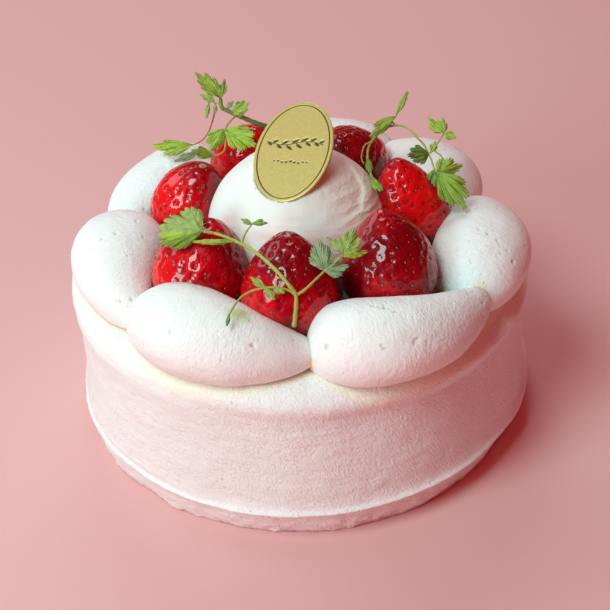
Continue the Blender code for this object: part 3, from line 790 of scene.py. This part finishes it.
Berry = namedtuple("Berry", "x y z radius length tilt toward pointed shift")
berries = {
    "pieces": (                     # mm and degrees; how pointed the tip is; how far it is moved along x
        Berry(-3.3, -42.5, 79, 16, 38, 18, 88, 0.25, -0.5),
        Berry(-32.4, -25.5, 77, 16.4, 34, 22, 40, 0.25, 0),
        Berry(-37, 14, 77.5, 14, 34, 22, -20, 0.2, 0),
        Berry(-16.5, 42, 76.5, 14, 32, 20, -66, 0.25, 0),
        Berry(20.5, 37, 76, 14.5, 34, 24, -120, 0.25, 0),
        Berry(39.6, 1.5, 79.5, 12.7, 38, 24, 175, 0.25, 3.2),
        Berry(29.6, -30, 78.5, 16, 37, 22, 135, 0.6, 3.2),
    ),
    "taper": 0.24, "rows": 140, "columns": 200, "poleGap": 0.002,
    "lump": 0.6, "smallLump": 0.2, "swell": 0.12, "dimpleWidth": 1.05, "dimpleDepth": 0.4,      # mm
    "seedSpacing": 4.1, "seedLength": 1.05, "seedWidth": 0.6, "seedSink": 0.34,                 # mm
    "seedRows": (0.16, 2.7), "seedUneven": 0.2,     # radians from the tip; how much smaller some are
    "rowDisorder": 0.05, "spaceDisorder": 0.12,     # radians, and a share of the space between two seeds
    "sunk": 0.2, "bareFoot": 1,     # mm into the cake's top, and mm above it that have no seeds
}


def berryPoint(berry, polar, turn):
    level = np.cos(polar)
    tip = np.maximum(level, 0)
    across = berry.radius * (1 - berries["taper"] * level) * np.sin(polar) ** (1 + berry.pointed * tip)
    return np.stack([across * np.cos(turn) + berry.shift * tip * tip, across * np.sin(turn),
                     0.5 * berry.length * level], axis=-1)


def berryShape(berry, polar, turn):
    # a point, and the way out from it, for angles from the tip and round the axis
    polar = np.clip(polar, berries["poleGap"], pi - berries["poleGap"])
    near = 0.001
    down = berryPoint(berry, polar + near, turn) - berryPoint(berry, polar - near, turn)
    aside = berryPoint(berry, polar, turn + near) - berryPoint(berry, polar, turn - near)
    outward = np.cross(down, aside)
    return berryPoint(berry, polar, turn), outward / np.linalg.norm(outward, axis=-1, keepdims=True)


def berryPlace(berry):
    toward = radians(berry.toward)
    lean = Matrix.Rotation(radians(berry.tilt), 4, Vector((-sin(toward), cos(toward), 0)))
    return np.array(Matrix.Translation((berry.x, berry.y, berry.z)) @ lean)


def seedSpots(berry, chance):
    # rows of seeds from the tip down, each row turned half a space from the last
    spots = []
    polar, lastRow = berries["seedRows"]
    row = 0
    while polar < lastRow:
        girth = 2 * pi * berry.radius * (1 - berries["taper"] * cos(polar)) * sin(polar)
        count = max(int(girth / berries["seedSpacing"]), 4)
        for step in range(count):
            down = polar + berries["rowDisorder"] * chance.standard_normal()
            along = step + 0.5 * (row % 2) + berries["spaceDisorder"] * chance.standard_normal()
            spots.append((down, 2 * pi * along / count))
        polar += 0.9 * berries["seedSpacing"] / (0.5 * berry.length * (0.45 + 0.55 * sin(polar)) + 4)
        row += 1
    return np.array(spots)


def seedTree():
    # a seed on every point, lying along the point's "run" with its back to "out"
    tree = bpy.data.node_groups.new("seeds", "GeometryNodeTree")
    for label, kind in (("Points", "Geometry"), ("Length", "Float"), ("Width", "Float"), ("Uneven", "Float"),
                        ("Skin", "Material")):
        tree.interface.new_socket(label, in_out="INPUT", socket_type="NodeSocket" + kind)
    tree.interface.new_socket("Seeds", in_out="OUTPUT", socket_type="NodeSocketGeometry")

    def add(kind, sockets, output=0, **settings):
        return addNode(tree, kind, sockets, **settings).outputs[output]

    given = addNode(tree, "NodeGroupInput").outputs
    ball = add("GeometryNodeMeshUVSphere", {"Segments": 8, "Rings": 6, "Radius": 0.5})
    thin = add("ShaderNodeMath", {0: given["Width"], 1: 0.7}, operation="MULTIPLY")
    size = add("ShaderNodeCombineXYZ", {"X": given["Width"], "Y": thin, "Z": given["Length"]})
    seed = add("GeometryNodeTransform", {"Geometry": ball, "Scale": size})
    run = add("GeometryNodeInputNamedAttribute", {"Name": "run"}, data_type="FLOAT_VECTOR")
    out = add("GeometryNodeInputNamedAttribute", {"Name": "out"}, data_type="FLOAT_VECTOR")
    lie = add("FunctionNodeAlignRotationToVector", {"Vector": run}, axis="Z")
    turn = add("FunctionNodeAlignRotationToVector", {"Rotation": lie, "Vector": out},
               axis="Y", pivot_axis="Z")
    least = add("ShaderNodeMath", {0: 1, 1: given["Uneven"]}, operation="SUBTRACT")
    draw = add("FunctionNodeRandomValue", {2: least, 3: 1.15, "Seed": 7}, 1, data_type="FLOAT")
    spread = add("GeometryNodeInstanceOnPoints",
                 {"Points": given["Points"], "Instance": seed, "Rotation": turn, "Scale": draw})
    real = add("GeometryNodeRealizeInstances", {"Geometry": spread})
    smooth = add("GeometryNodeSetShadeSmooth", {"Geometry": real})
    dressed = add("GeometryNodeSetMaterial", {"Geometry": smooth, "Material": given["Skin"]})
    addNode(tree, "NodeGroupOutput", {"Seeds": dressed})
    return tree


def growSeeds(name, spots, tree):
    places, outs, runs = (np.concatenate(part) for part in zip(*spots))
    mesh = bpy.data.meshes.new(name + "Spots")
    mesh.from_pydata(places.tolist(), [], [])
    addValues(mesh, "out", outs)
    addValues(mesh, "run", runs)
    holder = addObject(name + "Spots", mesh)
    modifier = holder.modifiers.new("seeds", "NODES")
    modifier.node_group = tree
    values = {"Length": berries["seedLength"] * mm, "Width": berries["seedWidth"] * mm,
              "Uneven": berries["seedUneven"], "Skin": seedSkin}
    for item in tree.interface.items_tree:
        if item.name in values:
            modifier[item.identifier] = values[item.name]
    shown = holder.evaluated_get(bpy.context.evaluated_depsgraph_get())
    made = bpy.data.meshes.new_from_object(shown)
    bpy.data.objects.remove(holder, do_unlink=True)
    piece = addObject(name, made)
    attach(piece, "root")
    return len(places)


def strawberry(number, berry):
    chance = np.random.default_rng(170 + number)
    pole = berries["poleGap"]
    polar, turn = np.meshgrid(np.linspace(pole, pi - pole, berries["rows"]),
                              np.linspace(0, 2 * pi, berries["columns"], endpoint=False), indexing="ij")
    spots = seedSpots(berry, chance).T
    local, outward = berryShape(berry, polar, turn)
    seedLocal, seedOut = berryShape(berry, *spots)
    dimple = np.zeros(polar.shape)
    for spot in seedLocal:
        away = np.linalg.norm(local - spot, axis=-1) / berries["dimpleWidth"]
        dimple = np.maximum(dimple, np.exp(-away ** 2.4))

    def swollen(places):
        return berries["swell"] + berries["lump"] * grain(places, 13, 80 + number)

    glaze = np.clip(0.75 + 1.3 * grain(local, 9, 95 + number), 0.25, 1)
    out = (swollen(local) + berries["smallLump"] * grain(local, 4.2, 90 + number)
           - berries["dimpleDepth"] * dimple * glaze)
    place = berryPlace(berry)
    turned, middle = place[:3, :3].T, place[:3, 3]
    points = (local + outward * out[..., None]) @ turned + middle
    points[..., 2] = np.maximum(points[..., 2], cake["height"] - berries["sunk"])
    points[[0, -1]] = points[[0, -1]].mean(axis=1, keepdims=True)
    piece = makePiece(f"strawberry{number}", points * mm, gridFaces(*polar.shape), flesh, {"dimple": dimple})
    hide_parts(f"strawberry_{number}")
    seats = (seedLocal + seedOut * (swollen(seedLocal) - berries["seedSink"])[:, None]) @ turned + middle
    ahead = berryShape(berry, spots[0] - 0.02, spots[1])[0] - seedLocal
    shown = seats[:, 2] > cake["height"] + berries["bareFoot"]
    return seats[shown] * mm, (seedOut @ turned)[shown], (ahead @ turned)[shown]


seeds = [strawberry(number, berry) for number, berry in enumerate(berries["pieces"], 1)]
seedCount = growSeeds("strawberrySeeds", seeds, seedTree())
print("strawberries made, with", seedCount, "seeds")


# The chervil

Stem = namedtuple("Stem", "radius points red", defaults=(0,))
Leaf = namedtuple("Leaf", "base tip lobes left right tone leftTone cleft", defaults=(0.4, None, 0.36))
chervilSizes = {
    "stemSize": 0.88, "taper": 0.65, "stemColumns": 12,
    "thickness": 0.25, "veinWidth": 0.13, "veinHalf": 0.33,
    "tuck": 0.3,                    # mm of a leaf that lie in its stem
    "shorter": 0.5, "tooth": 0.16, "teeth": 4, "loneTeeth": 6,      # a leaf of one lobe has more teeth
    "cup": 0.14, "ripple": 0.22, "curl": 0.05, "wave": 0.03,            # shares of the leaf's length
    "rows": 16, "perLobe": 30, "face": (0, -0.62, 0.78),
}
frontFork, frontBend = (-1.2, -57.9, 86.7), (-18.3, -38.3, 94.2)
frontEnd, frontTwig, frontLow = (-30.9, -31.3, 95), (-14.6, -34.2, 99), (-11.2, -57, 89.6)
frontTurn, frontRight = (8.3, -52, 91.5), (14.6, -48.4, 95.6)
frontSprig = (
    (Stem(0.85, ((-2.4, -61.8, 77), (-1.7, -60.2, 81), frontFork, (-3.4, -56.6, 90.2),
         (-6.8, -52.8, 92.8), (-11.1, -47.2, 94.2), (-15.5, -41.2, 94.2), frontBend,
         (-23.1, -34, 94), (-27.1, -31.5, 94.2), frontEnd)),
     Stem(0.45, (frontBend, (-17.8, -37.6, 95.5), (-16.6, -35.7, 97), frontTwig)),
     Stem(0.50, (frontFork, (-3.7, -57.2, 88.5), (-7.6, -57, 89.6), frontLow,
         (-14.3, -57.2, 89.2), (-17.5, -58.2, 88.4), (-20.1, -60.5, 87.4),
         (-21.9, -63.8, 86.6), (-23, -66.3, 86))),
     Stem(0.60, (frontFork, (1.8, -57, 88.2), (5.4, -54.5, 90.2), frontTurn)),
     Stem(0.45, (frontTurn, (11.1, -50.9, 93), (13.8, -49.2, 95), frontRight))),
    (Leaf(frontEnd, (-47.4, -30.3, 91.5), 4, 34, 88, 0.95, 0.4, 0.2),
     Leaf((-19.6, -36.8, 94), (-35.7, -33.8, 93), 1, 8, 8, 0.45),
     Leaf(frontTwig, (-18.3, -32.3, 100), 3, 25, 30, 0.2),
     Leaf(frontTwig, (-9.1, -35.6, 100), 3, 35, 15, 0.1),
     Leaf((-10.9, -57, 89.6), (-15.8, -53.6, 92), 3, 25, 22, 0.6),
     Leaf(frontLow, (-7.8, -60.6, 87.2), 3, 26, 26, 0.4),
     Leaf((-8.4, -57, 89.6), (-4.5, -58.6, 88.2), 3, 38, 34, 0.7),
     Leaf((-22.6, -65.3, 86.2), (-23.6, -70, 84.6), 1, 18, 18, 0.3),
     Leaf(frontTurn, (7, -43.2, 98), 5, 50, 46, 0.8, cleft=0.2),
     Leaf(frontRight, (19.1, -42.3, 101), 5, 46, 66, 0.85, cleft=0.26),
     Leaf(frontRight, (9.3, -42.6, 98.5), 3, 20, 25, 0.75),
     Leaf(frontTurn, (16.6, -50.9, 92.5), 3, 32, 46, 1),
     Leaf((13.8, -49.2, 95), (23.2, -46.3, 94.6), 1, 14, 20, 0.5)),
)
backKnee, backJoint, backCrown = (-19.9, 36.9, 98.6), (-25.1, 38.1, 101.4), (-25.5, 41.3, 103.2)
backPale, backNode = (-27.5, 40.6, 102), (-24.2, 26.7, 93.6)
backEnd, backSide = (-28.6, 20.8, 91.6), (-36.4, 35.6, 87.6)
backSprig = (
    (Stem(1.15, ((-7.8, 39.4, 91), (-10.4, 38.3, 92.7), (-12.9, 37.3, 94.5), (-16.9, 36.8, 97),
         backKnee, (-24, 37.8, 100.6), backJoint, backCrown), -0.6),
     Stem(0.40, (backJoint, (-26, 39.7, 102), backPale)),
     Stem(0.38, (backPale, (-27.8, 40.2, 99.6), (-28.2, 39.8, 97.4), (-29.2, 39.3, 94.4),
         (-30.7, 38.5, 91), (-33.2, 36.9, 88.6), backSide), 1),
     Stem(0.42, (backKnee, (-22.6, 34, 97.5), (-24.2, 31.2, 96), backNode,
         (-24.7, 23.4, 92.2), (-26.3, 21.8, 91.8), backEnd))),
    (Leaf(backCrown, (-34.7, 46.3, 112), 5, 20, 38, 0.25),
     Leaf(backCrown, (-23.4, 44.1, 110), 3, 24, 27, 0.35),
     Leaf(backPale, (-33.3, 43.8, 104), 3, 18, 40, 0.7),
     Leaf((-29.6, 41.2, 102.4), (-30.9, 34.1, 99), 1, 14, 14, 0.6),
     Leaf(backPale, (-27.5, 37.6, 98.8), 1, 22, 22, 0.6),
     Leaf((-21.7, 37, 99.4), (-14.5, 37.2, 103.6), 5, 40, 46, 0.5),
     Leaf((-23.5, 37.9, 100.4), (-20.6, 38.8, 103.5), 3, 32, 25, 1),
     Leaf(backSide, (-52.6, 38.4, 86.8), 3, 34, 15, 0.4),
     Leaf((-24.2, 31.2, 96), (-29.6, 22.6, 92), 5, 24, 60, 0.5),
     Leaf((-24.1, 31, 95.9), (-12.8, 21.6, 94.2), 5, 46, 42, 0.45),
     Leaf(backEnd, (-36.4, 16.8, 97), 3, 26, 30, 0.4),
     Leaf((-33, 18, 95.4), (-42.6, 14, 94.2), 3, 18, 20, 1)),
)
rightFork, rightPeak, rightJoint = (28.4, 23.9, 92.6), (37, 20.2, 101), (36.9, 21.3, 104)
rightElbow, rightUpper, rightDroop = (47.4, 9.3, 95.4), (53.2, 13.4, 101), (49.6, 1.5, 92.4)
rightSprig = (
    (Stem(0.55, ((26.9, 1, 92.2), (26.4, 8, 91), (26.3, 15.6, 90.4), (26.9, 21.4, 91),
         rightFork, (30.6, 24.3, 95.2), (33.1, 23.6, 98), (35.6, 21.8, 100), rightPeak,
         (39.4, 18.3, 101.6), (41.7, 15.5, 101.4), (44, 12.6, 99.8), (45.9, 11.4, 98),
         rightElbow, (48.1, 7.7, 94.4), (48.8, 4.3, 93), rightDroop)),
     Stem(0.38, (rightFork, (25.9, 22.7, 92), (24.8, 19.8, 91.4), (24.2, 16.2, 90.4),
         (24.9, 12.8, 90.2))),
     Stem(0.38, (rightPeak, (35.5, 21.6, 102), rightJoint), 0.7),
     Stem(0.42, (rightElbow, (49.2, 9.9, 96.5), (50.8, 11.1, 98.6), rightUpper)),
     Stem(0.35, ((49.2, 9.9, 96.5), (51.7, 8.9, 94.6), (53.2, 7.5, 92.8)))),
    (Leaf(rightJoint, (42, 26.1, 112), 1, 14, 12, 0.4),
     Leaf(rightJoint, (27.3, 19.4, 96.4), 3, 15, 34, 0.5),
     Leaf((26.3, 15.6, 90.4), (26.6, 3, 92.2), 1, 14, 14, 0.35),
     Leaf((26.9, 1, 92.2), (30.2, -11.4, 93), 1, 14, 22, 0.3),
     Leaf(rightUpper, (47.8, 19.6, 104), 3, 36, 32, 0.5),
     Leaf((52.9, 13.2, 100.8), (53.3, 19.1, 104), 3, 30, 30, 0.8),
     Leaf(rightUpper, (57.4, 11, 100), 3, 46, 44, 0.5),
     Leaf((48.3, 9.6, 96), (50.3, 12.3, 98.6), 3, 40, 44, 0.2),
     Leaf(rightElbow, (39.3, 5.6, 97.2), 5, 52, 55, 0.1),
     Leaf(rightDroop, (59.4, 5.8, 92), 5, 62, 26, 0.4),
     Leaf(rightDroop, (58.6, -11.4, 84.4), 5, 46, 32, 0.35),
     Leaf((49.4, 3, 92.7), (48.8, -3.4, 89.6), 3, 20, 60, 0)),
)


def stemShape(stem):
    run = smoothRun(stem.points, 5)
    ends = np.diff(run, axis=0)
    ahead = np.vstack([ends[:1], ends[1:] + ends[:-1], ends[-1:]])
    ahead /= np.linalg.norm(ahead, axis=1)[:, None]
    side = np.cross(ahead, (0.31, -0.2, 0.93))      # a direction that the stems don't run in
    side /= np.linalg.norm(side, axis=1)[:, None]
    lift = np.cross(ahead, side)
    count = chervilSizes["stemColumns"]
    turn = np.linspace(0, 2 * pi, count, endpoint=False)[:, None]
    radius = chervilSizes["stemSize"] * stem.radius * np.linspace(1, chervilSizes["taper"], len(run))
    radius = radius * (1 + 0.12 * np.sin(np.arange(len(run)) * 1.9))      # joints
    around = np.cos(turn) * side[:, None] + (1 + 0.1 * np.cos(4 * turn)) * np.sin(turn) * lift[:, None]
    rings = run[:, None] + radius[:, None, None] * around
    return np.concatenate([np.repeat(run[:1, None], count, 1), rings, np.repeat(run[-1:, None], count, 1)])


def leafShape(leaf, chance):
    sizes = chervilSizes
    ahead = Vector(leaf.tip) - Vector(leaf.base)
    length = ahead.length + sizes["tuck"]
    ahead.normalize()
    face = Vector(sizes["face"])
    face = (face - ahead * face.dot(ahead)).normalized()
    side = np.array(ahead.cross(face))
    face, ahead = np.array(face), np.array(ahead)
    share, outward = np.meshgrid(np.linspace(-1, 1, sizes["perLobe"] * leaf.lobes + 1),
                                 np.linspace(0, 1, sizes["rows"] + 1))
    lobe = 0.5 * (share + 1) * leaf.lobes
    across = lobe - np.floor(np.minimum(lobe, leaf.lobes - 1e-6))
    arch = np.sin(pi * np.clip(across, 0, 1))
    teeth = np.abs(np.sin(sizes["teeth" if leaf.lobes > 1 else "loneTeeth"] * pi * across)) ** 0.45
    edge = (1 - leaf.cleft * (1 - arch ** 0.3)) * (1 - sizes["tooth"] * (1 - teeth))
    reach = (1 - sizes["shorter"] * np.abs(share)) * edge * outward
    turn = np.radians(np.where(share > 0, leaf.right, leaf.left)) * share
    bent = turn * (0.45 + 0.55 * ease(outward, 0, 0.4))
    lobeTurn = radians(leaf.left + leaf.right) / leaf.lobes
    fold = sizes["ripple"] / 3 * lobeTurn * (2 * arch ** 0.7 - 1) * outward
    curl = sizes["curl"] * np.sin(pi * outward) - sizes["cup"] * turn * turn * reach
    wave = sizes["wave"] * np.sin(7 * turn + 6 * outward + 6 * chance.random()) * outward
    flat = reach[..., None] * (np.cos(bent)[..., None] * ahead + np.sin(bent)[..., None] * side)
    bulge = (fold + curl + wave)[..., None] * face
    sheet = np.array(leaf.base) - sizes["tuck"] * ahead + length * (flat + bulge)
    lobeWidth = lobeTurn * length * np.maximum(reach, 0.02)
    middle = np.abs(across - 0.5)
    branch = middle - sizes["veinHalf"] * ramp(outward, 0.35, 1)
    vein = np.maximum(hump(middle * lobeWidth, 0, sizes["veinWidth"]),
                      0.75 * hump(branch * lobeWidth, 0, sizes["veinWidth"]))
    leftTone = leaf.tone if leaf.leftTone is None else leaf.leftTone
    tone = leaf.tone + (leftTone - leaf.tone) * ramp(share, 0.125, -0.125)
    half = 0.5 * sizes["thickness"] * face
    return np.stack([sheet + half, sheet - half]), vein, tone


def sprig(number, stems, leaves):
    chance = np.random.default_rng(100 + number)
    points, faces = [], []
    marks = {key: [] for key in ("stem", "red", "dark", "tone", "vein")}

    def addPart(part, quads, **values):
        start = sum(len(done) for done in points)
        points.append(part.reshape(-1, 3))
        faces.extend(tuple(start + corner for corner in quad) for quad in quads)
        for key, done in marks.items():
            done.append(np.broadcast_to(values.get(key, 0), part.shape[:-1]).ravel())

    for stem in stems:
        rings = stemShape(stem)
        addPart(rings, gridFaces(*rings.shape[:2]), stem=1,
                red=max(stem.red, 0), dark=max(-stem.red, 0))
    for leaf in leaves:
        both, vein, tone = leafShape(leaf, chance)
        rows, columns = vein.shape
        count = rows * columns
        upper = gridFaces(rows, columns, around=False)
        lower = [tuple(count + corner for corner in reversed(quad)) for quad in upper]
        edge = [row * columns for row in range(rows)]
        edge += [(rows - 1) * columns + column for column in range(1, columns)]
        edge += [row * columns + columns - 1 for row in reversed(range(rows - 1))]
        wall = [(a, b, count + b, count + a) for a, b in zip(edge, edge[1:])]
        addPart(both, upper + lower + wall, tone=tone + 0.08 * chance.standard_normal(),
                vein=np.stack([vein, 0.5 * vein]))
    piece = makePiece(f"chervilSprig{number}", np.concatenate(points) * mm, faces, chervil,
                      {key: np.concatenate(done) for key, done in marks.items()})
    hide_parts(f"chervil_sprig_{number}")


for number, (stems, leaves) in enumerate((frontSprig, backSprig, rightSprig), 1):
    sprig(number, stems, leaves)
print("chervil made")


# Floor and light

studio = {
    "floor": rgb(230, 174, 171), "floorRoughness": 0.8, "floorReach": 3,
    "world": (1, 0.06, 0.09, 1), "worldStrength": 0.3,
    "aim": (0, 0, 0.05),
    "lights": (                     # name, place in metres, size, watts, colour
        ("key", (-0.80, -0.60, 0.50), 0.45, 5.3, (0.39, 0.96, 1)),
        ("top", (-0.40, -0.45, 0.95), 0.45, 6.5, (0.68, 1, 0.96)),
        ("back", (-0.75, 0.50, 0.65), 0.6, 2.5, (0.69, 0.88, 1)),
        ("behind", (0, 0.70, 0.85), 0.5, 3, (0.62, 1, 0.98)),
        ("low", (-0.60, -0.75, 0.08), 0.5, 2.3, (1, 0, 0)),
    ),
}


def makeStudio():
    far = studio["floorReach"]
    mesh = bpy.data.meshes.new("floor")
    corners = [(-far, -far, 0), (far, -far, 0), (far, far, 0), (-far, far, 0)]
    mesh.from_pydata(corners, [], [(0, 1, 2, 3)])
    paint = bpy.data.materials.new("floorPaint")
    paint.use_nodes = True
    shader = paint.node_tree.nodes["Principled BSDF"]
    shader.inputs["Base Color"].default_value = studio["floor"]
    shader.inputs["Roughness"].default_value = studio["floorRoughness"]
    mesh.materials.append(paint)
    addObject("floor", mesh)
    for name, place, size, power, colour in studio["lights"]:
        data = bpy.data.lights.new(name, "AREA")
        data.shape, data.size, data.energy, data.color = "DISK", size, power, colour
        lamp = addObject(name, data)
        lamp.location = place
        lamp.rotation_euler = (Vector(studio["aim"]) - Vector(place)).to_track_quat("-Z", "Y").to_euler()
    world = bpy.data.worlds.new("studio")
    world.use_nodes = True
    sky = world.node_tree.nodes["Background"]
    sky.inputs["Color"].default_value = studio["world"]
    sky.inputs["Strength"].default_value = studio["worldStrength"]
    scene.world = world
    scene.view_settings.view_transform = "Standard"


makeStudio()
print("studio made")
